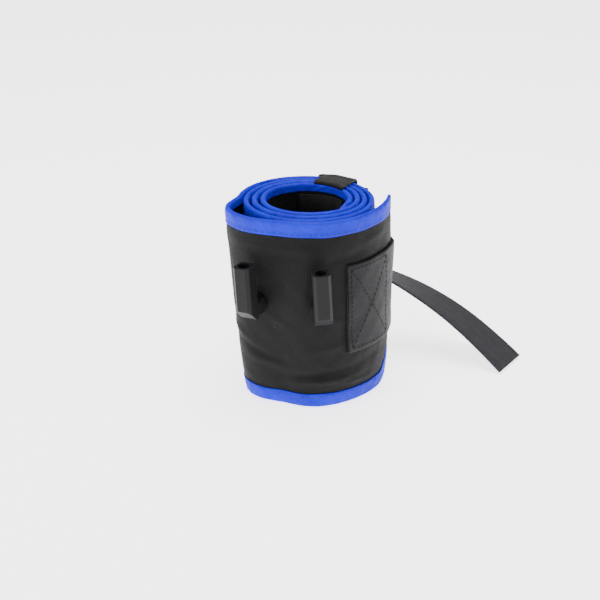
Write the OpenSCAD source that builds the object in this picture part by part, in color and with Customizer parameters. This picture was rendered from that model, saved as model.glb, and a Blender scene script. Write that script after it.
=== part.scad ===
// Rolled padded gait belt with two strap hooks, standing on its edge.
// Origin: middle of the footprint on the floor. +Z up, +Y to the back of the roll.

/* [Belt] */
// Height of the belt standing on its edge
belt_h = 104; // [90:1:130]
// Thickness of the outer cover fabric
cover_t = 0.4; // [0.3:0.1:0.8]
// Thickness of the foam padding
foam_t = 1.9; // [1:0.1:3]
// Thickness of the inner lining
lining_t = 0.3; // [0.2:0.1:0.6]
// Depth of the edge binding, measured from the edge
binding_h = 8; // [5:0.5:14]
// Thickness of the binding tape on each side
binding_t = 0.2; // [0.1:0.1:0.5]
// Thickness of the binding tape over the edge
binding_fold_t = 1; // [0.5:0.1:2]

/* [Roll] */
// Mean radius of the innermost turn
core_r = 20.8; // [17:0.1:30]
// How much wider the coil is from side to side than from front to back
oval = 0.8; // [0:0.1:3]
// How far the turns sit towards the back
back_shift = 0.7; // [0:0.1:2]
// Growth in radius for each turn
turn_pitch = 4; // [3.7:0.1:7]
// Extra growth at the back, taken off at the front
back_pitch = 0.55; // [0:0.05:1]
// Extra growth at the right, taken off at the left
side_pitch = 0.2; // [0:0.05:1]
// Angle where the inner end of the belt lies
inner_angle = -40; // [-60:1:-33]
// Angle where the outer end of the belt lies, whole turns included
outer_angle = 1446; // [1436:1:1452]
// How far the outer turn bulges at its loose fold
fold_rise = 5.5; // [2:0.1:10]
// How far the outer end stands off the coil
tip_rise = 3.3; // [1:0.1:8]

// Radius of the rounded lower corner at the outer end
corner_r = 20; // [12:1:24]

/* [End webbing] */
// Width of the webbing sewn to the outer end
web_w = 50; // [40:1:56]
// Thickness of the webbing
web_t = 1.6; // [1:0.1:2.5]
// Height of the webbing's centre line above the floor
web_z = 54.5; // [51:0.5:60]
// Angle that the free end of the webbing turns past the belt's end
web_tab_turn = 28; // [20:1:30]
// Width of a line of stitching
thread_w = 0.8; // [0.5:0.1:1.2]

/* [Strap] */
// Width of the strap
strap_w = 25; // [20:1:26]
// Thickness of the strap
strap_t = 1.4; // [1:0.1:1.6]
// Distance of the strap from the coil where it meets the buckle
strap_stand_off = 5.2; // [4:0.1:12]
// Point where the free tail's tip rests
tail_tip = [114.2, 10.7, 0.8];
// Direction and length of pull at the buckle end of the free tail
tail_start_pull = [35, 0, 0];
// Direction and length of pull at the tip of the free tail
tail_tip_pull = [-34, 24.4, 28.7];
// Turn of the strap from upright to flat along the free tail
tail_twist = 97; // [85:1:100]

/* [Hooks] */
// Outside width of a hook
hook_w = 9; // [8:0.5:12]
// Diameter of the bore in a hook
hook_bore = 6.2; // [5:0.1:6.6]
// Height of a hook from its elbow to its mouth
hook_h = 29.2; // [22:0.2:40]
// Gap between a hook and the belt
hook_throat = 6; // [5:0.5:16]
// Height of the hooks' lowest point above the floor
hook_z = 52.4; // [40:0.1:60]
// Angle of the left hook on the outer turn
hook_left_angle = 1305; // [1297:2:1311]
// Angle of the right hook on the outer turn
hook_right_angle = 1361; // [1351:2:1365]
// Lean of the hooks towards the left
hook_lean = 3.5; // [0:0.5:8]
// Diameter of the flange at a hook's root
flange_d = 11; // [10:0.5:16]
// Diameter of a screw
screw_d = 2.5; // [2:0.1:3]

/* [Rim strap and buckle] */
// Angle where the strap crosses the rim of the coil
rim_angle = 65; // [60:1:75]
// Depth of the inner leg of the rim strap below the rim
rim_inner_drop = 62; // [55:1:70]
// Thickness of the buckle
buckle_t = 9; // [8:0.5:12]
// Thickness of the buckle's arms and walls
buckle_wall = 2.8; // [2:0.1:4]
// Diameter of the bars that carry the strap
bar_d = 2.4; // [2:0.1:2.8]
// Length of the buckle's socket
socket_l = 19; // [16:1:19]
// Length of the buckle's prongs
prong_l = 19; // [15:1:22]

/* [Hidden] */
// Middle of the footprint, from the centre of the coil
footprint_mid = [40.89, 3.935];
// Clearance between soft pieces
soft_gap = 0.3;
// Clearance between moulded pieces and the strap
play = 0.3;
// Step between the corners of the coil's outline
seg_a = 8;
// Turn of the outline before and after the fold, and before the end
fold_lead = 30;
fold_fall = 57;
tip_lead = 48;
fold_angle = outer_angle - 168;
// Half thickness of the belt's body and of its bound edge
half_t = (cover_t + foam_t + lining_t) / 2;
edge_half_t = half_t + binding_t;
foam_in = -half_t + lining_t;
foam_out = half_t - cover_t;
layer_h = belt_h - 2 * binding_fold_t;
// Gap cut on each side of the soft hinge lines
hinge_gap = 0.15;
web_mid = half_t + web_t / 2;
// Backing plates
plate_t = 0.9;
plate_h = 26;
plate_turn = 12;
screw_pitch = 6.4;
screw_head_t = 0.7;
screw_head_d = 3.8;
flange_t = 2;
hook_chamfer = 1.5;
mitre = 5.5;
elbow_floor = 6;
tube_x = hook_throat + hook_w / 2;
screw_end_wall = 0.7;
screw_l = tube_x - hook_bore / 2 - screw_end_wall;
root_z = hook_z + hook_w / 2;
// Places along the tail, from 0 at the buckle to 1 at the tip
twist_start_t = 0.12;
twist_end_t = 0.3;
// Buckle
arm_in = strap_w / 2 + play * 2;
arm_out = arm_in + buckle_wall;
loop_mid_r = bar_d / 2 + play + strap_t / 2;
run_end_a = 90;
strap_run_r = roll_r(run_end_a + 1080) + edge_half_t + strap_stand_off;
male_t = 4;
bar_x = -3;
bar_y = strap_run_r + loop_mid_r;
end_bar_x = bar_x + 6.4;
end_bar_d = 2;
male_body_x = bar_x - loop_mid_r - strap_t / 2 - 1.1;
male_body_l = 5;
prong_t = 3;
prong_w = 3;
barb = 2.4;
root_gap = 0.3;
coil_out = roll_r(rim_angle + 1080) + edge_half_t;
leg_x = coil_out + soft_gap;
female_bar_x = leg_x + loop_mid_r + strap_t / 2;
female_bar_z = belt_h - 8;
socket_top = female_bar_z - 5;
socket_mid_x = leg_x + 0.65 + buckle_t / 2;
socket_wall = 1.5;
window_h = 8;
inner_wall_r = roll_r(rim_angle) - edge_half_t;
inner_leg_x = sqrt(pow(inner_wall_r, 2) - pow(strap_w / 2, 2)) - 2 * soft_gap;
inner_tab_angle = -32;
leg_edge_angle = rim_angle - atan(strap_w / 2 / inner_leg_x);
inner_tab_end = ceil((leg_edge_angle + 3) / seg_a) * seg_a;
rim_z = belt_h + soft_gap;

black = [0.18, 0.18, 0.18];
lining_black = [0.1, 0.1, 0.1];
blue = [0.27, 0.42, 0.95];
webbing_grey = [0.29, 0.28, 0.3];
hook_grey = [0.32, 0.32, 0.33];
strap_grey = [0.31, 0.3, 0.32];
olive = [0.24, 0.2, 0.16];
foam_grey = [0.35, 0.35, 0.36];
steel = [0.7, 0.7, 0.72];
thread_black = [0.08, 0.08, 0.08];

// The shapes are drawn round the middle of the coil and moved here, so that
// the origin is the middle of the whole footprint
module placed() {
    translate([-footprint_mid.x, -footprint_mid.y, 0])
        children();
}

// ---- outline of the roll ----

function smooth(t) = let (u = min(1, max(0, t))) u * u * (3 - 2 * u);

function coil_r(a) = core_r + oval * cos(2 * a) + back_shift * sin(a)
    + (turn_pitch + back_pitch * sin(a) + side_pitch * cos(a)) * a / 360;

function fold_bulge(a) = fold_rise * (a < fold_angle
    ? smooth((a - fold_angle + fold_lead) / fold_lead)
    : 1 - smooth((a - fold_angle) / fold_fall));

function tip_bulge(a) =
    tip_rise * pow(max(0, (a - outer_angle + tip_lead) / tip_lead), 2);

function roll_r(a) = coil_r(a) + fold_bulge(a) + tip_bulge(a);

function roll_c(a) = roll_r(a) * [cos(a), sin(a)];

function roll_n(a) = let (d = roll_c(a + 1) - roll_c(a - 1))
    [d.y, -d.x] / norm(d);

function roll_p(a, out) = roll_c(a) + out * roll_n(a);

// Angles from a0 to a1, on the coil's common steps in between
function steps(a0, a1) = concat([a0],
    [for (k = [floor(a0 / seg_a) + 1 : ceil(a1 / seg_a) - 1]) k * seg_a],
    [a1]);

function arc_angle(len) = len / roll_r(fold_angle) * 180 / PI;

// A layer of the belt between two angles and two offsets from its middle
module layer(a0, a1, o0, o1, z, h) {
    angles = steps(a0, a1);
    back = [for (i = [len(angles) - 1 : -1 : 0]) angles[i]];
    translate([0, 0, z])
        linear_extrude(h)
            polygon(concat([for (a = angles) roll_p(a, o0)],
                [for (a = back) roll_p(a, o1)]));
}

coil_end = fold_angle - arc_angle(hinge_gap);
flap_start = fold_angle + arc_angle(hinge_gap);

// Children stand on the belt's outer face, with +X pointing away from it
module on_belt(a) {
    p = roll_p(a, half_t);
    n = roll_n(a);
    translate([p.x, p.y, 0])
        rotate(atan2(n.y, n.x))
            children();
}

module binding(a0, a1, z_edge, z_side) {
    layer(a0, a1, -edge_half_t, edge_half_t, z_edge, binding_fold_t);
    side_h = binding_h - binding_fold_t;
    layer(a0, a1, half_t, edge_half_t, z_side, side_h);
    layer(a0, a1, -edge_half_t, -half_t, z_side, side_h);
}

module bottom_binding(a0, a1) {
    binding(a0, a1, 0, binding_fold_t);
}

module top_binding(a0, a1) {
    binding(a0, a1, belt_h - binding_fold_t, belt_h - binding_h);
}

// ---- coil ----

module coil_cover() {
    color(black) placed()
        layer(inner_angle, coil_end, foam_out, half_t, binding_fold_t, layer_h);
}

module coil_foam() {
    color(foam_grey) placed()
        layer(inner_angle, coil_end, foam_in, foam_out, binding_fold_t, layer_h);
}

module coil_lining() {
    color(lining_black) placed()
        layer(inner_angle, coil_end, -half_t, foam_in, binding_fold_t, layer_h);
}

module coil_binding_top() {
    color(blue) placed()
        top_binding(inner_angle, coil_end);
}

module coil_binding_bottom() {
    color(blue) placed()
        bottom_binding(inner_angle, coil_end);
}

// ---- outer turn ----

// Screws of both hooks, with a given shank and head, for the screws and holes
module at_screws() {
    for (a = [hook_left_angle, hook_right_angle])
        for (side = [-1, 1])
            on_belt(a)
                translate([0, 0, root_z + side * screw_pitch / 2])
                    rotate([0, 90, 0])
                        children();
}

plate_in = foam_out - plate_t;

module screw_shape(shank_d, head_d) {
    head_x = plate_in - half_t;
    translate([0, 0, head_x - screw_head_t])
        cylinder(d = head_d, h = screw_head_t, $fn = 32);
    translate([0, 0, head_x])
        cylinder(d = shank_d, h = screw_l - head_x, $fn = 32);
}

module head_recess() {
    head_x = plate_in - half_t;
    translate([0, 0, head_x - screw_head_t])
        cylinder(d = screw_head_d + 2 * play, h = 2 * foam_t, $fn = 32);
}

module plate(a, out) {
    layer(floor((a - plate_turn) / seg_a) * seg_a,
        ceil((a + plate_turn) / seg_a) * seg_a, plate_in, out,
        root_z - plate_h / 2, plate_h);
}

// A flat shape, drawn along the belt's end and up, cut through its thickness
module at_end() {
    p = roll_c(outer_angle);
    n = roll_n(outer_angle);
    translate([p.x, p.y, 0])
        rotate(atan2(n.y, n.x))
            translate([-corner_r, 0, 0])
                rotate([90, 0, 90])
                    linear_extrude(2 * corner_r)
                        children();
}

module corner_square() {
    translate([-corner_r, 0])
        square(corner_r);
}

module corner_round(r) {
    translate([-corner_r, corner_r])
        circle(r = r, $fn = 96);
}

module corner_waste() {
    difference() {
        translate([-corner_r, -1])
            square([2 * corner_r, corner_r + 1]);
        corner_round(corner_r - binding_fold_t);
    }
}

module corner_ring(depth) {
    intersection() {
        corner_square();
        difference() {
            corner_round(corner_r);
            corner_round(corner_r - depth);
        }
    }
}

module corner_tape(o0, o1, depth) {
    intersection() {
        layer(outer_angle - tip_lead, outer_angle, o0, o1, 0, corner_r);
        at_end()
            corner_ring(depth);
    }
}

module flap_layer(o0, o1) {
    difference() {
        layer(flap_start, outer_angle, o0, o1, binding_fold_t, layer_h);
        at_end()
            corner_waste();
    }
}

module flap_cover() {
    color(black) placed()
        difference() {
            flap_layer(foam_out, half_t);
            at_screws()
                cylinder(d = screw_d, h = screw_l, center = true, $fn = 32);
        }
}

module flap_foam() {
    color(foam_grey) placed()
        difference() {
            flap_layer(foam_in, foam_out);
            plate(hook_left_angle, foam_out + cover_t);
            plate(hook_right_angle, foam_out + cover_t);
            at_screws()
                head_recess();
        }
}

module flap_lining() {
    color(lining_black) placed()
        flap_layer(-half_t, foam_in);
}

module flap_binding_top() {
    color(blue) placed()
        top_binding(flap_start, outer_angle);
}

module flap_binding_bottom() {
    color(blue) placed() {
        difference() {
            bottom_binding(flap_start, outer_angle);
            at_end()
                translate([-corner_r, -1])
                    square([2 * corner_r, corner_r]);
        }
        corner_tape(-edge_half_t, edge_half_t, binding_fold_t);
        corner_tape(half_t, edge_half_t, binding_h);
        corner_tape(-edge_half_t, -half_t, binding_h);
    }
}

// ---- hooks ----

// Square section with cut corners, the far side cut more than the near side
module hook_section(near, far) {
    h = hook_w / 2;
    polygon([[-h, -h + near], [-h + near, -h], [h - far, -h], [h, -h + far],
        [h, h - far], [h - far, h], [-h + near, h], [-h, h - near]]);
}

// Turned about the axis of a hook's root
module leaning() {
    translate([0, 0, root_z])
        rotate([hook_lean, 0, 0])
            translate([0, 0, -root_z])
                children();
}

module hook(a) {
    color(hook_grey) placed()
        difference() {
            on_belt(a)
                leaning() difference() {
                    union() {
                        translate([0, 0, root_z])
                            rotate([0, 90, 0])
                                cylinder(d = flange_d, h = flange_t, $fn = 64);
                        translate([0, 0, root_z])
                            rotate([0, 90, 0])
                                rotate(90)
                                    linear_extrude(tube_x)
                                        hook_section(1, 1);
                        translate([tube_x, 0, hook_z])
                            linear_extrude(hook_h)
                                hook_section(1, hook_chamfer);
                    }
                    translate([tube_x, 0, hook_z + elbow_floor])
                        cylinder(d = hook_bore, h = hook_h, $fn = 48);
                    translate([tube_x + hook_w / 2, 0, hook_z])
                        rotate([0, 45, 0])
                            cube([mitre * sqrt(2), hook_w * 2,
                                mitre * sqrt(2)], center = true);
                }
            at_screws()
                cylinder(d = screw_d, h = screw_l, $fn = 32);
        }
}

module hook_left() {
    hook(hook_left_angle);
}

module hook_right() {
    hook(hook_right_angle);
}

module hook_plate(a) {
    color(hook_grey) placed()
        difference() {
            plate(a, foam_out);
            at_screws()
                cylinder(d = screw_d, h = screw_l, center = true, $fn = 32);
        }
}

module hook_plate_left() {
    hook_plate(hook_left_angle);
}

module hook_plate_right() {
    hook_plate(hook_right_angle);
}

module hook_screws() {
    color(steel) placed()
        at_screws()
            screw_shape(screw_d, screw_head_d);
}

// ---- webbing ----

// Straight and bent bands that follow a path in plan
function path_n(pts, i) = let (
    p = pts[max(0, i - 1)],
    q = pts[min(len(pts) - 1, i + 1)],
    d = q - p)
    [d.y, -d.x] / norm(d);

module band(pts, t, w, z_mid) {
    last = len(pts) - 1;
    translate([0, 0, z_mid - w / 2])
        linear_extrude(w)
            polygon(concat(
                [for (i = [0 : last]) pts[i] + path_n(pts, i) * t / 2],
                [for (i = [last : -1 : 0]) pts[i] - path_n(pts, i) * t / 2]));
}

web_start_angle = ceil((outer_angle - 63) / seg_a) * seg_a;
web_end = roll_p(outer_angle, web_mid);
web_end_r = norm(web_end);
web_end_a = atan2(web_end.y, web_end.x);
tab_end_r = strap_run_r + strap_t / 2;
tab_turn = web_tab_turn;

function tab_p(a) = (web_end_r
    + (tab_end_r - web_end_r) * smooth((a - web_end_a) / tab_turn))
    * [cos(a), sin(a)];

tab_start_a = web_end_a + 2 * hinge_gap / web_end_r * 180 / PI;

module end_webbing() {
    color(webbing_grey) placed()
        layer(web_start_angle, outer_angle, half_t, half_t + web_t,
            web_z - web_w / 2, web_w);
}

module thread_dot(a, z, out) {
    p = roll_p(a, out);
    n = roll_n(a);
    translate([p.x, p.y, z])
        rotate(atan2(n.y, n.x))
            cube([thread_w / 2, thread_w, thread_w], center = true);
}

module seam(a0, z0, a1, z1, out) {
    n = 6;
    for (i = [0 : n - 1])
        hull()
            for (t = [i / n, (i + 1) / n])
                thread_dot(a0 + (a1 - a0) * t, z0 + (z1 - z0) * t, out);
}

module box_seam(a0, a1, z0, z1, out) {
    seam(a0, z0, a1, z0, out);
    seam(a0, z1, a1, z1, out);
    seam(a0, z0, a0, z1, out);
    seam(a1, z0, a1, z1, out);
}

stitch_margin = 2;
stitch_a0 = web_start_angle + 3;
stitch_a1 = outer_angle - 22;
stitch_z0 = web_z - web_w / 2 + stitch_margin;
stitch_z1 = web_z + web_w / 2 - stitch_margin;

module box_stitching() {
    out = half_t + web_t + thread_w / 8;
    color(thread_black) placed() {
        box_seam(stitch_a0, stitch_a1, stitch_z0, stitch_z1, out);
        seam(stitch_a0, stitch_z0, stitch_a1, stitch_z1, out);
        seam(stitch_a0, stitch_z1, stitch_a1, stitch_z0, out);
    }
}

tab_step = 4;
tab_end_a = web_end_a + tab_turn;

module webbing_tab() {
    color(webbing_grey) placed()
        band([for (a = [tab_start_a : tab_step : tab_end_a]) tab_p(a)],
            web_t, web_w, web_z);
}

// ---- strap through the buckle ----

strap_root_a = web_end_a + 10;
strap_off = (web_t + strap_t) / 2 + hinge_gap;

function strap_p(a) = let (r = norm(tab_p(min(a, tab_end_a))) - strap_off)
    (r + (strap_run_r - r) * smooth((a - tab_end_a) / (run_end_a - tab_end_a)))
    * [cos(a), sin(a)];

function loop_p(b) = [bar_x, bar_y] + loop_mid_r * [cos(b), sin(b)];

tail_root = [4, bar_y + loop_mid_r, web_z];

module strap_run() {
    color(strap_grey) placed()
        band(concat(
            [for (a = [strap_root_a : tab_step : run_end_a]) strap_p(a)],
            [for (b = [-90 : -20 : -270]) loop_p(b)],
            [[tail_root.x, tail_root.y]]),
            strap_t, strap_w, web_z);
}

module strap_stitching() {
    r_in = 1.2;
    color(thread_black) placed()
        for (a = [strap_root_a + 2, tab_end_a - 3])
            translate([0, 0, web_z - strap_w / 2 + stitch_margin])
                linear_extrude(strap_w - 2 * stitch_margin)
                    polygon([for (c = [[-r_in, -1], [web_t / 2 + 0.2, -1],
                        [web_t / 2 + 0.2, 1], [-r_in, 1]])
                        tab_p(a + c.y) + c.x * [cos(a), sin(a)]]);
}

// Free tail: a cubic curve from the buckle to the tip on the floor
function tail_c(t) = let (u = 1 - t,
    p1 = tail_root + tail_start_pull,
    p2 = tail_tip + tail_tip_pull)
    u * u * u * tail_root + 3 * u * u * t * p1
    + 3 * u * t * t * p2 + t * t * t * tail_tip;

function unit(v) = v / norm(v);

function tail_along(t) = unit(tail_c(min(1, t + 0.01)) - tail_c(max(0, t - 0.01)));

function tail_roll(t) = tail_twist
    * smooth((t - twist_start_t) / (twist_end_t - twist_start_t))
    - (tail_twist - 90) * t * t * t;

function tail_up(t) = let (d = tail_along(t))
    unit([0, 0, 1] - d.z * d);

function tail_across(t) = let (
    d = tail_along(t),
    v = tail_up(t),
    s = cross(v, d),
    b = tail_roll(t))
    cos(b) * v + sin(b) * s;

function tail_corners(t) = let (
    c = tail_c(t),
    w = tail_across(t) * strap_w / 2,
    n = cross(tail_along(t), tail_across(t)) * strap_t / 2)
    [c + w + n, c + w - n, c - w - n, c - w + n];

module ribbon(t0, t1, n) {
    pts = [for (i = [0 : n]) each tail_corners(t0 + (t1 - t0) * i / n)];
    sides = [for (i = [0 : n - 1]) for (j = [0 : 3]) let (
        k = (j + 1) % 4,
        p = 4 * i,
        q = p + 4)
        each (j == 3
            ? [[p + j, p + k, q + j], [p + k, q + k, q + j]]
            : [[p + j, p + k, q + k], [p + j, q + k, q + j]])];
    ends = [for (p = [0, 4 * n]) let (f = [[0, 2, 1], [0, 3, 2]])
        each [for (c = f) p == 0 ? c : p * [1, 1, 1] + [c.x, c.z, c.y]]];
    polyhedron(pts, concat(sides, ends));
}

tail_hinge_t = 0.31;
tail_gap_t = 0.003;

module strap_twist() {
    color(strap_grey) placed()
        ribbon(tail_gap_t, tail_hinge_t - tail_gap_t, 18);
}

module strap_tail() {
    color(strap_grey) placed()
        ribbon(tail_hinge_t, 1, 20);
}

// ---- buckle, prong half ----

module buckle_male() {
    color(hook_grey) placed() {
        for (side = [-1, 1])
            translate([male_body_x - 1, bar_y - male_t / 2,
                web_z + (side > 0 ? arm_in : -arm_out)])
                cube([end_bar_x + 1 + end_bar_d / 2 - male_body_x, male_t,
                    buckle_wall]);
        translate([bar_x, bar_y, web_z - arm_in - 1])
            cylinder(d = bar_d, h = 2 * arm_in + 2, $fn = 32);
        translate([end_bar_x, bar_y, web_z - arm_in - 1])
            cylinder(d = end_bar_d, h = 2 * arm_in + 2, $fn = 32);
        translate([male_body_x - male_body_l, bar_y - male_t / 2,
            web_z - arm_out])
            cube([male_body_l, male_t, 2 * arm_out]);
        translate([male_body_x - male_body_l - prong_l + 3,
            bar_y - prong_t / 2, web_z - 2])
            cube([prong_l, prong_t, 4]);
    }
}

prong_x = male_body_x - male_body_l - root_gap;
prong_z = arm_in - prong_w;

module prong(side) {
    color(hook_grey) placed()
        translate([prong_x, bar_y - prong_t / 2, web_z])
            mirror([0, 0, side > 0 ? 0 : 1])
                rotate([-90, 0, 0])
                    mirror([0, 1, 0])
                        linear_extrude(prong_t)
                            polygon([[0, prong_z], [-prong_l, prong_z],
                                [-prong_l, prong_z + prong_w - 1],
                                [-prong_l + 5, prong_z + prong_w + barb],
                                [-prong_l + 6, prong_z + prong_w + barb],
                                [-prong_l + 6, prong_z + prong_w],
                                [0, prong_z + prong_w]]);
}

module prong_upper() {
    prong(1);
}

module prong_lower() {
    prong(-1);
}

// ---- strap over the rim, and the socket half ----

module at_rim() {
    rotate(rim_angle)
        children();
}

// Side view of the rim strap, along the radius and up
module rim_side() {
    t = strap_t;
    top_z = rim_z + t;
    translate([inner_leg_x - t, belt_h - rim_inner_drop])
        square([t, rim_inner_drop + soft_gap + t / 2]);
    translate([inner_leg_x - t, rim_z])
        square([leg_x - inner_leg_x + 2 * t, t]);
    translate([leg_x, female_bar_z])
        square([t, rim_z - female_bar_z + t / 2]);
    translate([female_bar_x, female_bar_z])
        difference() {
            circle(r = loop_mid_r + t / 2, $fn = 48);
            circle(r = loop_mid_r - t / 2, $fn = 48);
        }
}

module rim_strap() {
    color(olive) placed() {
        at_rim()
            translate([0, strap_w / 2, 0])
                rotate([90, 0, 0])
                    linear_extrude(strap_w)
                        rim_side();
        layer(inner_tab_angle, inner_tab_end, -half_t - strap_t, -half_t,
            belt_h - rim_inner_drop, strap_w);
    }
}

module rim_stitching() {
    out = -half_t - strap_t - thread_w / 8;
    z0 = belt_h - rim_inner_drop + stitch_margin;
    color(thread_black) placed()
        box_seam(inner_tab_angle + 6, inner_tab_angle + 30, z0,
            z0 + strap_w - 2 * stitch_margin, out);
}

module buckle_female() {
    in_t = buckle_t - 2 * socket_wall;
    bottom = socket_top - socket_l;
    color(hook_grey) placed()
        at_rim() {
            difference() {
                translate([socket_mid_x - buckle_t / 2, -arm_out, bottom])
                    cube([buckle_t, 2 * arm_out, socket_l]);
                translate([socket_mid_x - in_t / 2, -arm_in, bottom - 1])
                    cube([in_t, 2 * arm_in, socket_l - socket_wall + 1]);
                translate([socket_mid_x - in_t / 2, -arm_out - 1,
                    bottom + 5])
                    cube([in_t, 2 * arm_out + 2, window_h]);
            }
            for (side = [-1, 1])
                translate([female_bar_x - bar_d / 2 - 0.5,
                    side > 0 ? arm_in : -arm_out, socket_top - 1])
                    cube([buckle_t - 3, buckle_wall,
                        female_bar_z - socket_top + 1 + bar_d / 2 + 0.5]);
            translate([female_bar_x, arm_in + 1, female_bar_z])
                rotate([90, 0, 0])
                    cylinder(d = bar_d, h = 2 * arm_in + 2, $fn = 32);
        }
}

// ---- assembly ----

coil_cover();
coil_foam();
coil_lining();
coil_binding_top();
coil_binding_bottom();
flap_cover();
flap_foam();
flap_lining();
flap_binding_top();
flap_binding_bottom();
hook_left();
hook_right();
hook_plate_left();
hook_plate_right();
hook_screws();
end_webbing();
box_stitching();
webbing_tab();
strap_run();
strap_stitching();
strap_twist();
strap_tail();
buckle_male();
prong_upper();
prong_lower();
rim_strap();
rim_stitching();
buckle_female();
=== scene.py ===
"""Looks of the rolled gait belt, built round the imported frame. Lengths are in
millimetres from the middle of the coil, and angles in degrees along the spiral;
put() turns a place into metres in the frame of the CAD part."""

import math
import random

import bpy
import numpy as np
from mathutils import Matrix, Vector


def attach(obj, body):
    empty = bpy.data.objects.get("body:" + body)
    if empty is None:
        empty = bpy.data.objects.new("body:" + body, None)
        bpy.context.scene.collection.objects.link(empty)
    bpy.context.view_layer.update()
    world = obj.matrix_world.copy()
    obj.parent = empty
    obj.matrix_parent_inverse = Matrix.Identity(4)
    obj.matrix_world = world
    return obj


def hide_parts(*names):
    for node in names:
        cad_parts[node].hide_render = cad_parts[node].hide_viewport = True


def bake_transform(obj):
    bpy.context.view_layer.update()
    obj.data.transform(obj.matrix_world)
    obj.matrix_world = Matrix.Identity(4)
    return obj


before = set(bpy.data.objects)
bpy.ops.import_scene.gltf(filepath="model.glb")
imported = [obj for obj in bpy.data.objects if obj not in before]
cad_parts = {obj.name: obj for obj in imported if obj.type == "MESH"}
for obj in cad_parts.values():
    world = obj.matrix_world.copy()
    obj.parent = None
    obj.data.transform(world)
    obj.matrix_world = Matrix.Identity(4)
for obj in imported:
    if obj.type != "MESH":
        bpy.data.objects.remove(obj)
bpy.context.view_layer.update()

# ---- sizes shared with the CAD part ----

MM = 0.001
# Middle of the part's footprint, from the middle of the coil
MID = np.array([40.89, 3.935, 0.0])
BELT_H = 104.0
# Spiral angles of the belt's two ends, of the loose fold, and of the place where
# the belt goes on as a piece of its own
INNER, OUTER, FOLD, SPLIT = -58.0, 1446.0, 1278.0, 1215.0
HOOK_ANGLES = (1305, 1361)
HALF_T = 1.5
BIND_H = 8.0
CORNER_R = 20.0
# Radius of the innermost turn, with its oval and its shift to the back, then what
# each turn adds to it
CORE_R, OVAL, BACK = 20.8, 0.8, 0.7
PITCH, PITCH_BACK, PITCH_SIDE = 4, 0.55, 0.2
# End webbing: width, thickness, height of its middle, where it starts, and how far
# its free tab turns round the roll
WEB_W, WEB_T, WEB_Z, WEB_START = 50.0, 1.6, 54.5, 1384.0
TAB_TURN = 28.0
STRAP_W, STRAP_T = 25.0, 1.4
# Bar of the buckle's prong half, the strap's radius round a bar, and its distance
# from the middle of the coil where it meets the buckle
BAR = (-3.0, 44.39)
LOOP_R = 2.2
RUN_R = 42.19
TAIL_ROOT = np.array([4.0, BAR[1] + LOOP_R, WEB_Z])
TAIL_TIP = np.array([114.2, 10.7, 0.8])
TAIL_ROOT_PULL, TAIL_TIP_PULL = [35, 0, 0], [-34, 24.4, 28.7]
# Share of the tail's length around which two points on it are worked out
TAIL_HINGE = 0.31
# Strap over the rim: its direction, the coil's radius there, how far its end is
# sewn below the rim, and the bar of the buckle's socket half as (radius, height)
RIM_ANGLE = 65.0
RIM_OUT = 37.8
RIM_DROP = 62.0
RIM_BAR = (40.2, 96.0)

# ---- how the real belt strays from the CAD's even spiral ----

# The roll leans to the left as it rises, by LEAN from bottom to top
LEAN_START, LEAN = 1.8, 3.0
# The fold stands out by FOLD_OUT, more at its top; lower down it lies further round
FOLD_OUT, FOLD_OUT_TOP, FOLD_SHIFT = 4.3, 3.1, 17
FOLD_RISE, FOLD_FALL, FOLD_FALL_LESS = 30, 57, 22
# The outer end stands off over its last degrees
FLARE, FLARE_TOP, FLARE_SPAN, FLARE_POWER = 2.4, 2.6, 48, 1.7
# The front bulges at the bottom
BULGE, BULGE_AT, BULGE_SPREAD = 2.4, 1352, 26
# The turns inside this angle lie a little to the right and stand a little higher
LOOSE_TURNS, LOOSE_SHIFT, LOOSE_RISE = 1150, 1.3, 1.1
# Rise of the outer end's top corner, and drop of the inner end
TIP_RISE, TIP_SPAN = 0.6, 62
SUNK, SUNK_SPAN = 5.0, 38
# Soft creases of the front as (height, distance along the belt from the front,
# half length, half height, tilt, how far it stands out)
FRONT_ANGLE = 1350
CREASES = (
    (15, 8, 16, 1.7, 0.05, 0.75), (19.5, 4, 12, 1.5, 0.1, -0.7),
    (12, 26, 12, 1.5, -0.08, 0.5), (24, -22, 11, 2.2, -0.16, 0.5),
    (30, -30, 9, 1.8, -0.3, -0.45), (22, 30, 14, 2.5, 0.12, -0.4),
    (38, -40, 8, 2.5, -0.35, 0.5), (89, -10, 18, 2.2, -0.03, 0.35),
    (84, 22, 12, 2.0, 0.14, -0.3), (90, 40, 10, 2.2, 0.1, 0.4),
    (34, 12, 12, 2.5, 0.15, 0.3), (46, 22, 6, 6, 0.4, -0.35),
)
# Round each hook, as (distance along from it, height, half length, half height,
# tilt, how far it stands out)
HOOK_CREASES = ((0, 59, 9, 9, 0.0, -0.5), (-8, 67, 3, 9, 1.2, 0.35), (9, 49, 7, 2.2, -0.5, 0.3))
# The tail is rolled over by TAIL_TWIST between two shares of its length, and sags
TAIL_TWIST, TWIST_FROM, TWIST_SPAN, TWIST_EASE = 107.0, 0.08, 0.22, 2.2
TAIL_SAG = 2.6
# The strap over the rim is narrowed by this share, and lies this far along the rim
RIM_PINCH, RIM_ASIDE = 0.28, 3.0


# ---- numbers and paths ----

def smooth(t):
    u = np.clip(t, 0, 1)
    return u * u * (3 - 2 * u)


def sin(a):
    return np.sin(np.radians(a))


def cos(a):
    return np.cos(np.radians(a))


def unit(v):
    return v / np.linalg.norm(v, axis=-1, keepdims=True)


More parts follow.
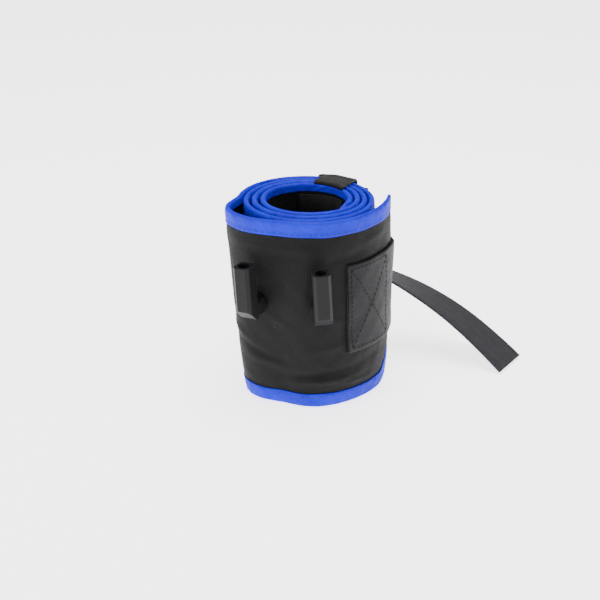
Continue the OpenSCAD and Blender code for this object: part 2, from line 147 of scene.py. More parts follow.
def belt_c(a, up):
    """Middle of the belt at an angle, up being 0 at its bottom edge and 1 at its top."""
    r = CORE_R + OVAL * cos(2 * a) + BACK * sin(a)
    r = r + (PITCH + PITCH_BACK * sin(a) + PITCH_SIDE * cos(a)) * a / 360
    fold = FOLD + FOLD_SHIFT * (1 - up) ** 2
    rising = smooth((a - fold + FOLD_RISE) / FOLD_RISE)
    falling = 1 - smooth((a - fold) / (FOLD_FALL - FOLD_FALL_LESS * (1 - up)))
    r = r + (FOLD_OUT + FOLD_OUT_TOP * up) * np.where(a < fold, rising, falling)
    flare = np.maximum(0, (a - OUTER + FLARE_SPAN) / FLARE_SPAN) ** FLARE_POWER
    r = r + (FLARE + FLARE_TOP * up) * flare
    r = r + (1 - up) * BULGE * np.exp(-((a - BULGE_AT) / BULGE_SPREAD) ** 2)
    inner = LOOSE_SHIFT * smooth((LOOSE_TURNS - a) / LOOSE_TURNS)
    return np.stack([r * cos(a) + LEAN_START - LEAN * up + inner, r * sin(a)], -1)


def lengths(p):
    """How far along a path each of its points lies."""
    return np.concatenate([[0], np.cumsum(np.linalg.norm(np.diff(p, axis=0), axis=1))])


TABLE_A = np.linspace(INNER - 2, OUTER + 2, 6000)
TABLE_U = lengths(belt_c(TABLE_A, 0.5))


def u_of(a):
    """Length along the belt at a spiral angle."""
    return np.interp(a, TABLE_A, TABLE_U)


def a_of(u):
    """Spiral angle at a length along the belt."""
    return np.interp(u, TABLE_U, TABLE_A)


END_U = float(u_of(OUTER))
FRONT_U = float(u_of(FRONT_ANGLE))
HOOK_US = [float(u_of(angle)) for angle in HOOK_ANGLES]


def ripple(u, z, seed, scale):
    """A smooth, irregular wave over the belt, about -1 to 1."""
    k = random.Random(seed)
    total = 0
    for _ in range(5):
        fu = (0.6 + 0.9 * k.random()) / scale
        fz = (0.4 + 0.8 * k.random()) / scale
        turns = u * fu + z * fz * k.choice((-1, 1)) + k.random()
        total = total + np.sin(6.283 * turns)
    return total / 3.2


def bump(u, z, u0, z0, su, sz, tilt=0.0):
    """One soft mound, su long and sz high, tilted across the belt."""
    du, dz = u - u0, z - z0 - tilt * (u - u0)
    return np.exp(-(du / su) ** 2 - (dz / sz) ** 2)


def wrinkle(u, z):
    """How far the padded belt stands out of its smooth roll."""
    d = 0.35 * ripple(u, z, 1, 46) + 0.12 * ripple(u, z, 2, 15)
    front = smooth((u - FRONT_U + 70) / 25)
    creases = 0
    for z0, u0, su, sz, tilt, stand in CREASES:
        creases = creases + stand * bump(u, z, FRONT_U + u0, z0, su, sz, tilt)
    for hook_u in HOOK_US:
        for u0, z0, su, sz, tilt, stand in HOOK_CREASES:
            creases = creases + stand * bump(u, z, hook_u + u0, z0, su, sz, tilt)
    return d + 1.25 * front * creases


def lift(a, z):
    """Rise of the inner turns and of the outer end's top corner; the inner end sinks."""
    inner = LOOSE_RISE * smooth((LOOSE_TURNS - a) / 900)
    tip = TIP_RISE * np.maximum(0, (a - OUTER + TIP_SPAN) / TIP_SPAN) ** 2
    sunk = SUNK * smooth((INNER + SUNK_SPAN - a) / SUNK_SPAN)
    return inner + (tip - sunk) * np.clip(z / BELT_H, 0, 1) ** 2


def belt_p(a, z, out, quiet=False):
    """Place on the belt at a height, out from its middle layer; quiet leaves out the
    wrinkles, which fade towards the belt's edges."""
    a, z, out = np.broadcast_arrays(np.asarray(a, float), z, out)
    up = z / BELT_H
    d = belt_c(a + 0.6, up) - belt_c(a - 0.6, up)
    n = unit(np.stack([d[..., 1], -d[..., 0]], -1))
    c = belt_c(a, up)
    u = u_of(a)
    edge = smooth(np.minimum(z, BELT_H - z) / 14)
    outward = out if quiet else out + wrinkle(u, z) * (0.25 + 0.75 * edge)
    p = c + outward[..., None] * n
    return np.concatenate([p, (z + lift(a, z))[..., None]], -1)


# ---- meshes ----

def put(p):
    """Metres in the frame of the CAD part."""
    return (np.asarray(p, float) - MID) * MM


def add_object(name, data):
    obj = bpy.data.objects.new(name, data)
    bpy.context.scene.collection.objects.link(obj)
    return obj


def finish_mesh(mesh, mats, face_mats=None):
    """Materials, one for each face where face_mats says which, and smooth shading."""
    for m in mats:
        mesh.materials.append(m)
    if face_mats is not None:
        mesh.polygons.foreach_set("material_index", face_mats)
    mesh.shade_smooth()
    mesh.update()


def skin(name, pts, us, vs, mats, face_mat=None):
    """A closed skin: pts[i, j] goes along the piece with i and round its section with j.
    The two ends are closed by pairing the two halves of the section. us and vs give the
    UV in mm, and face_mat the material of each place round the section."""
    n, m, _ = pts.shape
    i, j = np.meshgrid(np.arange(n - 1), np.arange(m), indexing="ij")
    k = (j + 1) % m
    sides = np.stack([i * m + j, i * m + k, (i + 1) * m + k, (i + 1) * m + j], -1).reshape(-1, 4)
    v_next = np.concatenate([vs[1:], [vs[-1] + 0.5]])
    side_uv = np.stack([
        np.stack([us[i], vs[j]], -1), np.stack([us[i], v_next[j]], -1),
        np.stack([us[i + 1], v_next[j]], -1), np.stack([us[i + 1], vs[j]], -1)], 2).reshape(-1, 2)
    h = np.arange(m // 2 - 1)
    cap = np.stack([h, m - 1 - h, m - 2 - h, h + 1], -1)
    caps = np.concatenate([cap, (cap + (n - 1) * m)[:, ::-1]])
    cap_uv = np.zeros((caps.size, 2))
    mesh = bpy.data.meshes.new(name)
    mesh.from_pydata(put(pts).reshape(-1, 3).tolist(), [], np.concatenate([sides, caps]).tolist())
    uv = mesh.uv_layers.new(name="UVMap")
    uv.data.foreach_set("uv", np.concatenate([side_uv, cap_uv]).ravel())
    face_mats = None
    if face_mat is not None:
        face_mats = np.concatenate([face_mat(j.ravel()), np.zeros(len(caps), int)])
    finish_mesh(mesh, mats, face_mats)
    return add_object(name, mesh)


def section(w, t, n, edge=4):
    """Outline of a flat band with rounded edges, as (across, out)."""
    r = t / 2
    a = np.linspace(0, 90, edge)
    left = [(-w / 2 + r - r * cos(x), r * sin(x)) for x in a]
    mid = [(x, r) for x in np.linspace(-w / 2 + r, w / 2 - r, n)[1:-1]]
    right = [(w / 2 - r + r * cos(x), r * sin(x)) for x in a[::-1]]
    half = np.array(left + mid + right)
    half[0, 1] = half[-1, 1] = 0.05
    other = half[::-1] * [1, -1]
    return np.concatenate([half, other])


def band(name, path, across, out, w, t, mats, n=14):
    """A flat band along a path, with its across and out directions at each point."""
    sec = section(w, t, n)
    pts = path[:, None] + sec[None, :, :1] * across[:, None] + sec[None, :, 1:] * out[:, None]
    return skin(name, pts, lengths(path), lengths(sec), mats)


def stitches(name, runs, mat, length=2.6, gap=0.3, r=0.3, stand=0.14):
    """Rows of thread stitches, thin at both ends: each run is (points, outward normals)."""
    ring, steps, end = 6, 5, 0.35
    verts, faces = [], []
    for p, n in runs:
        s = lengths(p)
        count = max(1, int(round(s[-1] / (length + gap))))
        step = s[-1] / count
        for q in range(count):
            at = np.linspace(q * step + gap / 2, (q + 1) * step - gap / 2, steps)
            c = np.stack([np.interp(at, s, p[:, x]) for x in range(3)], -1)
            m = unit(np.stack([np.interp(at, s, n[:, x]) for x in range(3)], -1))
            d = unit(c[-1] - c[0])
            side = unit(np.cross(m, d))
            swell = np.sin(np.linspace(end, math.pi - end, steps))
            base = len(verts)
            for x in range(steps):
                for y in range(ring):
                    b = 2 * math.pi * y / ring
                    e = c[x] + r * swell[x] * (math.cos(b) * side[x] + 0.75 * math.sin(b) * m[x])
                    verts.append(e + m[x] * stand * swell[x])
            for x in range(steps - 1):
                for y in range(ring):
                    z = (y + 1) % ring
                    faces.append((base + x * ring + y, base + x * ring + z,
                                  base + (x + 1) * ring + z, base + (x + 1) * ring + y))
            faces.append(tuple(base + y for y in range(ring))[::-1])
            faces.append(tuple(base + (steps - 1) * ring + y for y in range(ring)))
    mesh = bpy.data.meshes.new(name)
    mesh.from_pydata(put(np.array(verts)).tolist(), [], faces)
    finish_mesh(mesh, [mat])
    return add_object(name, mesh)


# ---- materials ----

class Nodes:
    """Short names for the nodes of one material."""

    def __init__(self, name):
        self.mat = bpy.data.materials.new(name)
        self.mat.use_nodes = True
        self.tree = self.mat.node_tree
        self.bsdf = self.tree.nodes["Principled BSDF"]

    def add(self, kind, **inputs):
        """A node with its inputs fed by name, or by number as _0, _1 and so on."""
        node = self.tree.nodes.new(kind)
        for key, value in inputs.items():
            self.feed(node.inputs[int(key[1:])] if key[0] == "_" and key[1:].isdigit()
                      else node.inputs[key.replace("_", " ")], value)
        return node

    def feed(self, socket, value):
        if isinstance(value, bpy.types.NodeSocket):
            self.tree.links.new(value, socket)
        else:
            socket.default_value = value

    def math(self, op, a, b=0.0, c=0.0):
        node = self.tree.nodes.new("ShaderNodeMath")
        node.operation = op
        for socket, value in zip(node.inputs, (a, b, c)):
            self.feed(socket, value)
        return node.outputs[0]

    def wave(self, x, period):
        """0 to 1 along x, one wave each period."""
        turned = self.math("MULTIPLY", x, 2 * math.pi / period)
        return self.math("MULTIPLY_ADD", self.math("SINE", turned), 0.5, 0.5)

    def uv(self):
        coord = self.add("ShaderNodeTexCoord")
        xyz = self.add("ShaderNodeSeparateXYZ", _0=coord.outputs["UV"])
        return xyz.outputs[0], xyz.outputs[1]

    def noise(self, scale, detail=3.0, rough=0.55, vector=None):
        if vector is None:
            vector = self.add("ShaderNodeTexCoord").outputs["Object"]
        node = self.add("ShaderNodeTexNoise", Vector=vector, Scale=scale, Detail=detail,
                        Roughness=rough)
        return node.outputs["Fac"]

    def ramp(self, fac, low, high, at=(0.3, 0.7)):
        node = self.add("ShaderNodeValToRGB", Fac=fac)
        node.color_ramp.elements[0].position, node.color_ramp.elements[1].position = at
        node.color_ramp.elements[0].color = (*low, 1)
        node.color_ramp.elements[1].color = (*high, 1)
        return node.outputs["Color"]

    def span(self, fac, low, high):
        node = self.add("ShaderNodeMapRange", Value=fac)
        node.inputs["To Min"].default_value = low
        node.inputs["To Max"].default_value = high
        return node.outputs[0]

    def relief(self, heights):
        """Chained bumps, each as (height, depth in metres)."""
        normal = None
        for height, depth in heights:
            node = self.add("ShaderNodeBump", Height=height, Distance=depth, Strength=1.0)
            if normal is not None:
                self.feed(node.inputs["Normal"], normal)
            normal = node.outputs["Normal"]
        self.feed(self.bsdf.inputs["Normal"], normal)

    def set(self, **values):
        for key, value in values.items():
            self.feed(self.bsdf.inputs[key.replace("_", " ")], value)


def scaled(color, k):
    return tuple(min(1.0, c * k) for c in color)


def weave(k, period_u, period_v):
    """Height of a plain weave: each thread goes over one and under the next."""
    u, v = k.uv()
    warp = k.wave(u, period_u)
    weft = k.wave(v, period_v)
    over = k.math("MULTIPLY", warp, weft)
    under = k.math("MULTIPLY", k.math("SUBTRACT", 1.0, warp), k.math("SUBTRACT", 1.0, weft))
    return k.math("ADD", over, under)


def cloth(name, color, period, depth, rough, sheen, spread=1.3, grain=70.0):
    """Plain woven cloth, its threads period mm apart, with soft patches and puckers."""
    k = Nodes(name)
    h = weave(k, period, period * 0.9)
    patch = k.noise(grain)
    fine = k.noise(900.0)
    mixed = k.math("MULTIPLY_ADD", h, 0.35, k.math("MULTIPLY", patch, 0.65))
    k.set(Base_Color=k.ramp(mixed, scaled(color, 1 / spread), scaled(color, spread)),
          Roughness=k.span(fine, rough - 0.08, rough + 0.08), Specular_IOR_Level=0.12,
          Sheen_Weight=sheen, Sheen_Roughness=0.45)
    k.relief([(k.noise(55.0, 4.0), 0.0009), (fine, 0.00005), (h, depth)])
    return k.mat


def binding_cloth(name, color):
    """Folded tape: fine ribs across it, small puckers, and a line of stitches near its inner edge."""
    k = Nodes(name)
    u, v = k.uv()
    ribs = k.wave(u, 0.8)
    pucker = k.noise(260.0, 2.0)
    patch = k.noise(90.0)
    dash = k.math("GREATER_THAN", k.wave(u, 3.0), 0.3)
    from_seam = k.math("ABSOLUTE", k.math("SUBTRACT", v, 1.6))
    thread = k.math("MULTIPLY", dash, k.math("LESS_THAN", from_seam, 0.35))
    groove = k.math("LESS_THAN", from_seam, 0.9)
    mixed = k.math("MULTIPLY_ADD", patch, 0.8, k.math("MULTIPLY", ribs, 0.08))
    tone = k.ramp(mixed, scaled(color, 0.82), scaled(color, 1.15))
    dark = k.add("ShaderNodeMixRGB", _0=k.math("MULTIPLY", thread, 0.45), _1=tone,
                 _2=(*scaled(color, 0.45), 1))
    k.set(Base_Color=dark.outputs[0], Roughness=k.span(pucker, 0.5, 0.66),
          Specular_IOR_Level=0.15, Sheen_Weight=0.0, Sheen_Roughness=0.4)
    k.relief([(pucker, 0.0008), (groove, -0.0005), (thread, 0.00035), (ribs, 0.00003)])
    return k.mat


def webbing_cloth(name, color, rib, depth):
    """Woven webbing: herringbone ribs along the band, rib mm apart."""
    k = Nodes(name)
    u, v = k.uv()
    zig = k.math("ABSOLUTE", k.math("SUBTRACT", k.wave(v, 12.5), 0.5))
    lean = k.math("MULTIPLY_ADD", zig, 5.0, u)
    rows = k.wave(lean, rib)
    ends = k.wave(v, 0.9)
    h = k.math("ADD", k.math("MULTIPLY", rows, 0.6), k.math("MULTIPLY", ends, 0.4))
    patch = k.noise(120.0)
    mixed = k.math("MULTIPLY_ADD", h, 0.5, k.math("MULTIPLY", patch, 0.5))
    k.set(Base_Color=k.ramp(mixed, scaled(color, 0.66), scaled(color, 1.36), (0.25, 0.75)),
          Roughness=k.span(patch, 0.5, 0.68), Specular_IOR_Level=0.18,
          Sheen_Weight=0.05, Sheen_Roughness=0.4)
    k.relief([(k.noise(800.0), 0.00008), (h, depth)])
    return k.mat


def plastic(name, color, rough, edge_highlight):
    """Moulded plastic: fine satin grain, faint scuffs, and a painted highlight that lightens its sharp
    edges.
    """
    k = Nodes(name)
    grain = k.noise(1800.0, 2.0)
    scuff = k.noise(160.0, 5.0, 0.7)
    geometry = k.add("ShaderNodeNewGeometry")
    # Painted highlight: sharp outer edges, found by pointiness, are mixed towards a colour 2.6 times
    # lighter
    edge = k.ramp(geometry.outputs["Pointiness"], (0, 0, 0), (1, 1, 1), (0.505, 0.56))
    tone = k.ramp(scuff, scaled(color, 0.85), scaled(color, 1.25))
    mix = k.add("ShaderNodeMixRGB", _0=k.math("MULTIPLY", edge, edge_highlight), _1=tone,
                _2=(*scaled(color, 2.6), 1))
    k.set(Base_Color=mix.outputs[0], Roughness=k.span(scuff, rough - 0.08, rough + 0.1),
          Specular_IOR_Level=0.12)
    k.relief([(grain, 0.00004), (scuff, 0.0001)])
    return k.mat


def metal(name, color):
    """Plated steel with a fine brushed grain."""
    k = Nodes(name)
    brush = k.noise(600.0, 4.0)
    k.set(Base_Color=k.ramp(brush, scaled(color, 0.8), scaled(color, 1.1)), Metallic=1.0,
          Roughness=k.span(brush, 0.28, 0.45))
    k.relief([(brush, 0.00003)])
    return k.mat


def ground(name, color):
    """Pale studio paper, lit a little by itself so that it stays pale."""
    k = Nodes(name)
    soft = k.noise(3.0, 2.0)
    k.set(Base_Color=k.ramp(soft, scaled(color, 0.995), color), Roughness=0.9,
          Emission_Color=(*color, 1), Emission_Strength=2.9)
    k.relief([(k.noise(900.0), 0.00003)])
    return k.mat


COVER = cloth("cover_nylon", (0.0038, 0.0038, 0.0038), 0.55, 0.00005, 0.62, 0.0)
LINING = cloth("lining", (0.0055, 0.0055, 0.0058), 0.8, 0.00008, 0.8, 0.02)
BLUE = binding_cloth("binding", (0.0001, 0.003, 0.55))
WEBBING = webbing_cloth("webbing", (0.0036, 0.0034, 0.0046), 1.0, 0.00014)
STRAP = webbing_cloth("strap", (0.021, 0.0205, 0.0245), 1.0, 0.00012)
RIM_STRAP = webbing_cloth("rim_strap", (0.0085, 0.0075, 0.0068), 1.0, 0.00014)
# A darker copy of the rim strap's webbing: painted shade for its leg and sewn end inside the hole
RIM_PAINTED_SHADE = webbing_cloth("rim_strap_painted_shade", (0.005, 0.0046, 0.0042), 1.0, 0.00014)
THREAD = cloth("thread", (0.003, 0.003, 0.0033), 0.3, 0.00004, 0.6, 0.0)
# The last number is the strength of the painted edge highlight
HOOK = plastic("hook_plastic", (0.0052, 0.0052, 0.0057), 0.48, 0.2)
BUCKLE = plastic("buckle_plastic", (0.012, 0.012, 0.013), 0.42, 0.4)
STEEL = metal("screw_steel", (0.62, 0.62, 0.64))


# ---- the padded belt ----

def belt_piece(name, a0, a1, step, rows, round_corner):
    """The padded body: its cover outside, its lining inside, thinner under the tapes.
    Its edges end inside the folded tapes, and its two ends are pinched together."""
    us = np.append(np.arange(u_of(a0), u_of(a1), step), u_of(a1))
    inside_tape = 1.2
    foot = np.full(len(us), inside_tape)
    if round_corner:
        into = np.clip(CORNER_R - (END_U - us), 0, CORNER_R)
        foot = inside_tape + CORNER_R - np.sqrt(np.maximum(0, CORNER_R ** 2 - into ** 2))
    t = np.linspace(0, 1, rows)
    z = foot[:, None] + (BELT_H - inside_tape - foot[:, None]) * t[None]
    from_tape = np.minimum(z - foot[:, None] - 5.5, BELT_H - 6.5 - z)
    plump = 1.12 + 0.38 * smooth(from_tape / 7)
    close = np.ones(len(us))
    close[[0, -1, -2]] = 0.35, 0.35, 0.85
    plump = plump * close[:, None]
    a = a_of(us)[:, None]
    outer = belt_p(a, z, plump)
    inner = belt_p(a, z, -plump)
    pts = np.concatenate([outer, inner[:, ::-1]], 1)
    v = np.concatenate([t * BELT_H, BELT_H + 3 + t * BELT_H])
    return skin(name, pts, us, v, [COVER, LINING], lambda j: (j >= rows).astype(int))


def tape_section():
    """Folded tape as (depth from the edge, out), from one lip over the edge to the other.
    Its inner side is less than half as deep as its outer side."""
    nose_r, shorter = 1.5, 0.42
    a = np.linspace(90, 0, 7)
    side = [(BIND_H, 1.42), (BIND_H - 0.25, 1.7), (BIND_H - 1.6, 1.5), (BIND_H - 3, 1.52),
            (BIND_H - 5, 1.5)]
    nose = [(nose_r - nose_r * cos(x), 1.45 * sin(x)) for x in a[:-1]]
    half = np.array(side + nose + [(0.0, 0.1)])
    inside = half[::-1] * [1, -1]
    past_nose = np.maximum(0, inside[:, 0] - nose_r)
    inside[:, 0] = np.minimum(inside[:, 0], nose_r) + past_nose * shorter
    return np.concatenate([half, inside])


def tape(name, a0, a1, top, step, round_corner=False):
    """The blue tape along one long edge; at the outer end it goes round the lower corner.
    It wavers and puckers a little, and thins towards its end."""
    end_u = u_of(a1) - (CORNER_R if round_corner else 0)
    us = np.append(np.arange(u_of(a0), end_u, step), end_u)
    edge = np.stack([us, np.zeros(len(us))], -1)
    inward = np.tile([0.0, 1.0], (len(us), 1))
    if round_corner:
        b = np.linspace(-90, 0, 34)[1:]
        c = np.stack([end_u + CORNER_R * cos(b), CORNER_R + CORNER_R * sin(b)], -1)
        edge = np.concatenate([edge, c])
        inward = np.concatenate([inward, np.stack([-cos(b), -sin(b)], -1)])
    sec = tape_section()
    depth = sec[None, :, 0]
    waver = 0.25 * ripple(edge[:, 0], edge[:, 1], 5 if top else 6, 26)[:, None]
    depth = depth + waver * (depth / BIND_H) ** 2
    flat = edge[:, None] + depth[..., None] * inward[:, None]
    z = BELT_H - flat[..., 1] if top else flat[..., 1]
    s = lengths(edge)[:, None]
    pucker = 0.07 * ripple(s, 3 * sec[None, :, 0], 7, 6.5) + 0.03 * ripple(s, 0, 8, 3.4)
    fat = 1 + pucker * smooth((BIND_H - sec[None, :, 0]) / 3)
    out = sec[None, :, 1] * fat
    thinning = 3.0 if round_corner else 14.0
    out = out * (0.72 + 0.28 * smooth((s.max() - s) / thinning))
    pts = belt_p(a_of(flat[..., 0]), z, out)
    return skin(name, pts, s[:, 0], lengths(sec), [BLUE])


coil_body = belt_piece("coil_body", INNER, SPLIT, 1.6, 34, False)
coil_top = tape("coil_tape_top", INNER - 0.8, SPLIT, True, 0.8)
coil_bottom = tape("coil_tape_bottom", INNER - 0.8, SPLIT, False, 1.6)
outer_body = belt_piece("outer_body", SPLIT, OUTER, 0.9, 100, True)
outer_top = tape("outer_tape_top", SPLIT, OUTER + 1.0, True, 0.6)
outer_bottom = tape("outer_tape_bottom", SPLIT, OUTER, False, 0.6, True)

for obj, nodes, slot in (
    (coil_body, ("coil_cover", "coil_foam", "coil_lining"), "cover_nylon"),
    (coil_top, ("coil_binding_top",), "binding"),
    (coil_bottom, ("coil_binding_bottom",), "binding"),
):
    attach(obj, "coil")
    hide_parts(*nodes)

# Two points at half the belt's height, at the outer turn's hinge and a little further round the roll
FOLD_START = tuple(put([-39.1, -7.3, BELT_H / 2]))
FOLD_END = tuple(put([-33.6, -18.3, BELT_H / 2]))
for obj, nodes, slot in (
    (outer_body, ("flap_cover", "flap_foam", "flap_lining"), "cover_nylon"),
    (outer_top, ("flap_binding_top",), "binding"),
    (outer_bottom, ("flap_binding_bottom",), "binding"),
):
    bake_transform(obj)
    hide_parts(*nodes)

# ---- webbing on the outer end ----

WEB_OUT = HALF_T + WEB_T / 2 + 0.05
web_end = belt_p(OUTER, WEB_Z, WEB_OUT, True)[:2]
web_end_r = float(np.hypot(*web_end))
web_end_a = float(np.degrees(np.arctan2(web_end[1], web_end[0])))
TAB_R = RUN_R + STRAP_T / 2
WEB_ON = END_U - float(u_of(WEB_START))
WEB_LEN = WEB_ON + TAB_TURN * math.pi / 180 * TAB_R


def tab_r(a):
    """Distance of the free tab from the middle of the coil."""
    return web_end_r + (TAB_R - web_end_r) * smooth((a - web_end_a) / TAB_TURN)


def web_p(s, z, out):
    """Webbing at length s from its sewn end: on the belt, then on its own round the side."""
    s, z, out = np.broadcast_arrays(np.asarray(s, float), z, out)
    u = np.minimum(s, WEB_ON) + float(u_of(WEB_START))
    sewn = belt_p(a_of(u), z, WEB_OUT + out)
    a = web_end_a + np.maximum(0, s - WEB_ON) / TAB_R * 180 / math.pi
    r = tab_r(a) + out
    free = np.stack([r * cos(a), r * sin(a), z], -1)
    gap = belt_p(OUTER, z, WEB_OUT + out) - np.stack(
        [(web_end_r + out) * cos(web_end_a), (web_end_r + out) * sin(web_end_a), z], -1)
    fade = 1 - smooth((s - WEB_ON) / 14)
    free = free + gap * fade[..., None]
    return np.where((s <= WEB_ON)[..., None], sewn, free)


web_s = np.append(np.arange(0, WEB_LEN, 0.8), WEB_LEN)
web_sec = section(WEB_W, WEB_T, 40)
from_middle = web_sec[None, :, 0]
edge_only = np.sign(from_middle) * (np.abs(from_middle) / (WEB_W / 2)) ** 4
waver = 0.22 * ripple(web_s, 0, 12, 22)[:, None] * edge_only
pts = web_p(web_s[:, None], WEB_Z + from_middle + waver, web_sec[None, :, 1])
webbing = skin("webbing", pts, web_s, lengths(web_sec), [WEBBING])
tuple(put([44.7, 0.5, WEB_Z]))
tuple(put([44.7, 8.5, WEB_Z]))
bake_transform(webbing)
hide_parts("end_webbing", "webbing_tab")


def web_line(s0, z0, s1, z1):
    """A straight seam on the webbing, between two places (length, height)."""
    t = np.linspace(0, 1, 30)
    ss, zz = s0 + (s1 - s0) * t, z0 + (z1 - z0) * t
    p = web_p(ss, zz, WEB_T / 2 - 0.12)
    q = web_p(ss, zz, WEB_T / 2 + 1)
    return p, unit(q - p)


# The sewn box, with its cross
near, far = 2.0, WEB_ON - 13.5
low, high = WEB_Z - WEB_W / 2 + 2.4, WEB_Z + WEB_W / 2 - 2.4
box_thread = stitches("box_thread", [web_line(*ends) for ends in (
    (near, low, far, low), (near, high, far, high), (near, low, near, high),
    (far, low, far, high), (near, low, far, high), (near, high, far, low))], THREAD)
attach(box_thread, "outer_turn")
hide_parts("box_stitching")

# ---- strap ----

def flat_dirs(path):
    """Upright across direction and outward normal of a path that stays level."""
    d = np.gradient(path, axis=0)
    across = np.tile([0.0, 0.0, 1.0], (len(path), 1))
    return across, unit(np.cross(d, across))


def strap_at(a):
    """The strap under the webbing's tab, then on to the buckle."""
    r = tab_r(np.minimum(a, web_end_a + TAB_TURN)) - (WEB_T + STRAP_T) / 2 - 0.1
    r = r + (RUN_R - r) * smooth((a - web_end_a - TAB_TURN) / (90 - web_end_a - TAB_TURN))
    return np.stack([r * cos(a), r * sin(a)], -1)


def loop(bar, angles):
    """The strap's turn round a bar."""
    return np.stack([bar[0] + LOOP_R * cos(angles), bar[1] + LOOP_R * sin(angles)], -1)


plan = np.concatenate([strap_at(np.arange(web_end_a + 8, 89, 1.5)),
                       loop(BAR, np.arange(-95, -271, -8)),
                       [[0.0, TAIL_ROOT[1]], [TAIL_ROOT[0] + 1.5, TAIL_ROOT[1]]]])
run = np.concatenate([plan, np.full((len(plan), 1), WEB_Z)], 1)
across, out = flat_dirs(run)
strap_run = band("strap_run_woven", run, across, out, STRAP_W, STRAP_T, [STRAP])
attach(strap_run, "webbing_end")
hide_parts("strap_run")
float(lengths(run)[-1]) * MM


def tail_c(t):
    """Middle of the tail at a share of its curve, from the buckle to its tip."""
    t = t[:, None]
    w = 1 - t
    p1, p2 = TAIL_ROOT + TAIL_ROOT_PULL, TAIL_TIP + TAIL_TIP_PULL
    sag = TAIL_SAG * smooth(t / 0.28) * (1 - smooth((t - 0.3) / 0.5))
    return w ** 3 * TAIL_ROOT + 3 * w * w * t * p1 + 3 * w * t * t * p2 + t ** 3 * TAIL_TIP \
        - sag * [0, 0, 1]


def tail_dirs(t):
    """Across and out: the tail leaves the buckle on edge and rolls over to lie flat."""
    d = unit(np.gradient(tail_c(t), axis=0))
    up = unit(np.array([0, 0, 1.0]) - d[:, 2:] * d)
    side = np.cross(up, d)
    rolled = TWIST_FROM + TWIST_SPAN
    flatter = 1 - (1 - np.maximum(0, t - rolled) / (1 - rolled)) ** TWIST_EASE
    turn = TAIL_TWIST * smooth((t - TWIST_FROM) / TWIST_SPAN) - (TAIL_TWIST - 90) * flatter
    turn = turn[:, None]
    across = cos(turn) * up + sin(turn) * side
    return across, np.cross(d, across)


shares = np.linspace(0, 1, 150)
across, out = tail_dirs(shares)
tail_path = tail_c(shares)
tail = band("strap_tail_woven", tail_path, across, out, STRAP_W, STRAP_T, [STRAP])
hinge = tail_c(np.array([TAIL_HINGE - 0.05, TAIL_HINGE + 0.05]))
tuple(put(hinge[0]))
tuple(put(hinge[1]))
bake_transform(tail)
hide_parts("strap_twist", "strap_tail")
float(lengths(tail_path)[-1]) * MM


def tab_seam(s):
    """An upright seam that holds the strap to the webbing's tab."""
    zz = np.linspace(WEB_Z - STRAP_W / 2 + 2, WEB_Z + STRAP_W / 2 - 2, 12)
    p = web_p(np.full(12, s), zz, WEB_T / 2 - 0.1)
    q = web_p(np.full(12, s), zz, WEB_T / 2 + 1)
    return p, unit(q - p)


tab_thread = stitches("tab_thread", [tab_seam(WEB_ON + x) for x in (9, 12, 18)], THREAD)
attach(tab_thread, "webbing_end")
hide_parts("strap_stitching")

# ---- strap over the rim ----

def rounded(corners, rounds=3):
    """A path with its corners cut again and again until it runs smoothly."""
    p = np.array(corners)
    for _ in range(rounds):
        near, far = p[:-1] * 0.75 + p[1:] * 0.25, p[:-1] * 0.25 + p[1:] * 0.75
        p = np.concatenate([p[:1], np.stack([near, far], 1).reshape(-1, 2), p[-1:]])
    return p


def rim_piece(name, side, pinch, aside, material):
    """A strap seen from its side as (radius, height), lying against the turns of the coil.
    pinch narrows it and aside moves it along the rim, except at the buckle."""
    length = lengths(side)
    at = np.linspace(0, length[-1], 180)
    side = np.stack([np.interp(at, length, side[:, 0]), np.interp(at, length, side[:, 1])], -1)
    d = unit(np.gradient(side, axis=0))
    sec = section(STRAP_W, STRAP_T, 16)
    x = side[:, None, 0] - d[:, None, 1] * sec[None, :, 1]
    z = side[:, None, 1] + d[:, None, 0] * sec[None, :, 1]
    on_rim = 1 - smooth((x - RIM_OUT + 1) / 3)
    w = sec[None, :, 0] * (1 - pinch * on_rim) - aside * on_rim
    hug = np.clip((RIM_OUT + 1.5 - side[:, None, 0]) / 2, 0, 1)
    x = x - (x - np.sqrt(x * x - w * w)) * hug
    x = x - (1 - hug) * 0.5 * (RIM_OUT - np.sqrt(RIM_OUT ** 2 - w * w))
    z = z + 0.3 * ripple(x, w, 31, 16) * smooth((z - 98) / 5)
    c, e = cos(RIM_ANGLE), sin(RIM_ANGLE)
    pts = np.stack([x * c - w * e, x * e + w * c, z], -1)
    obj = skin(name, pts, at, lengths(sec), [material])
    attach(obj, "coil")
    return obj


over = rounded([(22.0, 97.0), (22.0, 103.0), (21.2, 105.4), (21.9, 106.1), (24.5, 105.7), (28.0, 105.6),
                (31.5, 105.1), (35.2, 105.0), (RIM_OUT + 0.8, 104.2), (RIM_OUT + 0.7, 100.0),
                (RIM_OUT + 0.3, RIM_BAR[1])])
over = np.concatenate([over, loop(RIM_BAR, np.arange(190, 431, 12))])
rim = rim_piece("rim_strap_woven", over, RIM_PINCH, RIM_ASIDE, RIM_STRAP)
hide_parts("rim_strap")
# The strap's leg down inside the hole, in the darker copy of the strap as painted shade
leg = rounded([(20.6, 99.0), (19.7, 95.0), (19.3, 88.0), (19.3, BELT_H - RIM_DROP)])
rim_piece("rim_leg_woven", leg, 0.0, 0.0, RIM_PAINTED_SHADE)

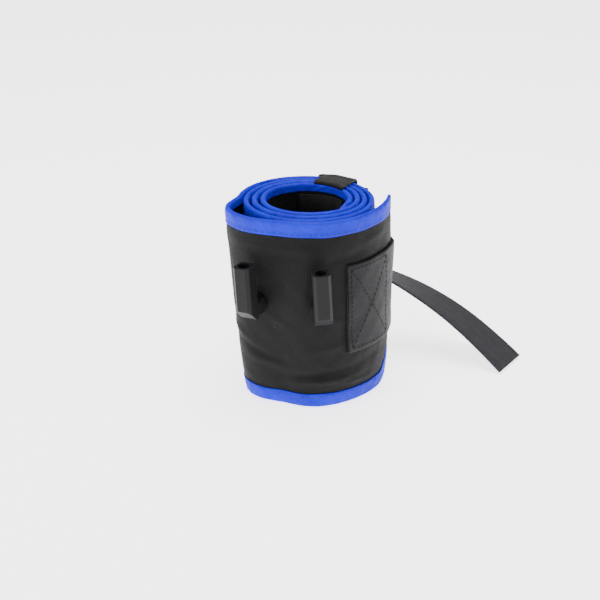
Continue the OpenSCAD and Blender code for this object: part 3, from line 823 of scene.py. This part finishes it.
# Its sewn end, which lies along the inner wall, in the darker copy of the strap as painted shade
band_a = np.arange(-34, 46, 2.0)
band_z = BELT_H - RIM_DROP + STRAP_W / 2
band_sec = section(STRAP_W, STRAP_T, 12)
pts = belt_p(band_a[:, None], band_z + band_sec[None, :, 0],
             -HALF_T - STRAP_T / 2 - band_sec[None, :, 1])
inner_band = skin("rim_band_woven", pts, u_of(band_a), lengths(band_sec), [RIM_PAINTED_SHADE])
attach(inner_band, "coil")


def inner_line(a0, z0, a1, z1):
    """A straight seam on the inner wall, between two places (angle, height)."""
    t = np.linspace(0, 1, 16)
    p = belt_p(a0 + (a1 - a0) * t, z0 + (z1 - z0) * t, -HALF_T - STRAP_T + 0.1)
    q = belt_p(a0 + (a1 - a0) * t, z0 + (z1 - z0) * t, -HALF_T - STRAP_T - 1)
    return p, unit(q - p)


near, far, low, high = -26.0, -2.0, band_z - 10.5, band_z + 10.5
rim_thread = stitches("rim_thread", [inner_line(*ends) for ends in (
    (near, low, far, low), (near, high, far, high),
    (near, low, near, high), (far, low, far, high))], THREAD)
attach(rim_thread, "coil")
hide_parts("rim_stitching")

# ---- moulded and metal pieces ----

for names, mat, width in (
    (("hook_left", "hook_right"), HOOK, 0.0006),
    (("hook_plate_left", "hook_plate_right"), HOOK, 0.0002),
    (("buckle_male", "prong_upper", "prong_lower", "buckle_female"), BUCKLE, 0.0004),
    (("hook_screws",), STEEL, 0.0001),
):
    for node_name in names:
        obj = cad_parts[node_name]
        obj.data.materials.clear()
        obj.data.materials.append(mat)
        edges = obj.modifiers.new("edges", "BEVEL")
        edges.width = width
        edges.segments = 3
        edges.limit_method = "ANGLE"
        edges.angle_limit = math.radians(40)
        edges.harden_normals = False
        obj.data.shade_smooth()
        smooth_edges = obj.modifiers.new("normals", "WEIGHTED_NORMAL")
        smooth_edges.keep_sharp = True

# ---- floor, light and camera ----

floor_mesh = bpy.data.meshes.new("floor")
floor_mesh.from_pydata([(-6, -6, 0), (6, -6, 0), (6, 6, 0), (-6, 6, 0)], [], [(0, 1, 2, 3)])
floor_mesh.materials.append(ground("floor_paper", (0.93, 0.93, 0.935)))
floor = add_object("floor", floor_mesh)
floor.location.z = -0.0004

world = bpy.data.worlds.new("studio")
world.use_nodes = True
background = world.node_tree.nodes["Background"]
background.inputs["Color"].default_value = (1, 1, 1, 1)
background.inputs["Strength"].default_value = 0.6
bpy.context.scene.world = world


def lamp(name, at, to, side, watts):
    """A square area lamp, all in metres."""
    data = bpy.data.lights.new(name, "AREA")
    data.shape = "RECTANGLE"
    data.size = data.size_y = side
    data.energy = watts
    obj = add_object(name, data)
    obj.location = at
    obj.rotation_euler = (Vector(to) - Vector(at)).to_track_quat("-Z", "Y").to_euler()


lamp("key", (-0.85, -0.5, 0.42), (-0.04, 0, 0.06), 0.3, 4.5)
lamp("fill", (0.8, -0.8, 0.7), (0, 0, 0.05), 0.8, 2)
lamp("top", (0.0, 0.1, 1.1), (0, 0, 0.05), 0.7, 16)

camera_data = bpy.data.cameras.new("camera")
camera_data.sensor_width = 36
camera_data.lens = 70.6
camera = add_object("camera", camera_data)
camera.location = put([-4.2, -572.7, 320.8])
camera.rotation_euler = (math.radians(64.36), 0, 0)
bpy.context.scene.camera = camera
